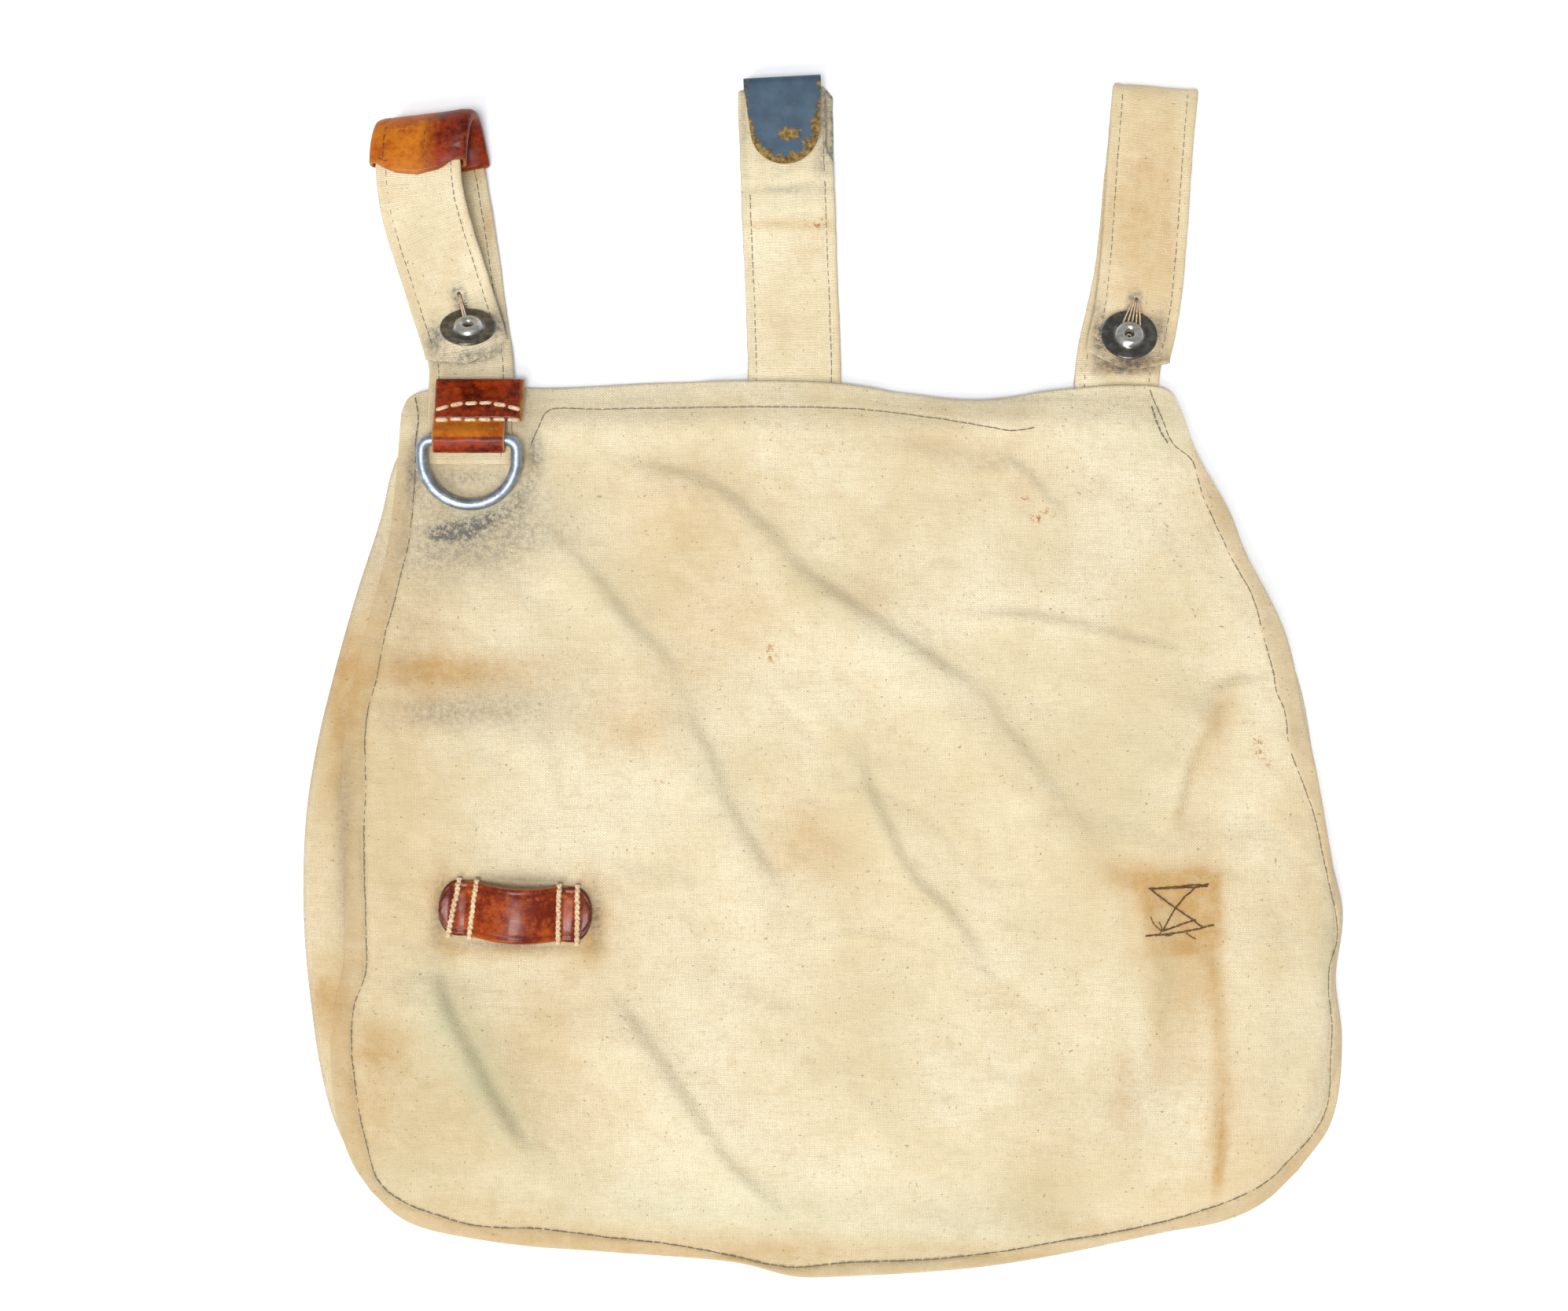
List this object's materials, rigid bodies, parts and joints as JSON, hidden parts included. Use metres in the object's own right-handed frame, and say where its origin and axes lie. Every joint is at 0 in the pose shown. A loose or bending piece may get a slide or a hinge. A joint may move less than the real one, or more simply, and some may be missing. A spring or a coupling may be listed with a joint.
{
  "type": "haversack",
  "caption": "Flat canvas haversack with a full front flap, buttoned belt loops, a centre strap with belt hook, and a D-ring on a leather tab.",
  "frame": {"origin": "centre of the haversack's bounding box, at the flat underside of its back panel", "axes": "+X to the wearer's-view right across the flap, +Y towards the belt loops, +Z out of the flap, away from the surface it lies on"},
  "size_m": [0.3292, 0.3806, 0.0231],
  "materials": {
    "canvas": "heavy cream canvas, worn and stained",
    "webbing": "ribbed cream cotton webbing",
    "leather": "waxed red-brown leather",
    "painted_steel": "blue-grey paint worn through at the tip",
    "ring_aluminium": "satin, dulled",
    "button_metal": "dark tarnished, bright on the dome",
    "thread": "linen thread"
  },
  "bodies": {
    "bag": {"pouch": "canvas", "flap": "canvas", "belt_loop_left": "webbing", "belt_loop_right": "webbing", "loop_sleeve": "leather", "centre_strap": "webbing", "belt_hook": "painted_steel", "ring_tab": "leather", "strap_keeper": "leather", "closing_tab": "leather", "button_left": "button_metal", "button_right": "button_metal", "button_thread_left": "thread", "button_thread_right": "thread"},
    "ring": {"d_ring": "ring_aluminium"}
  },
  "joints": [
    {"name": "ring_swing", "type": "hinge", "parent": "bag", "child": "ring", "pos_m": [-0.11116, 0.07455, 0.01835], "axis": [-1, 0, 0], "range_deg": [0, 155]}
  ]
}
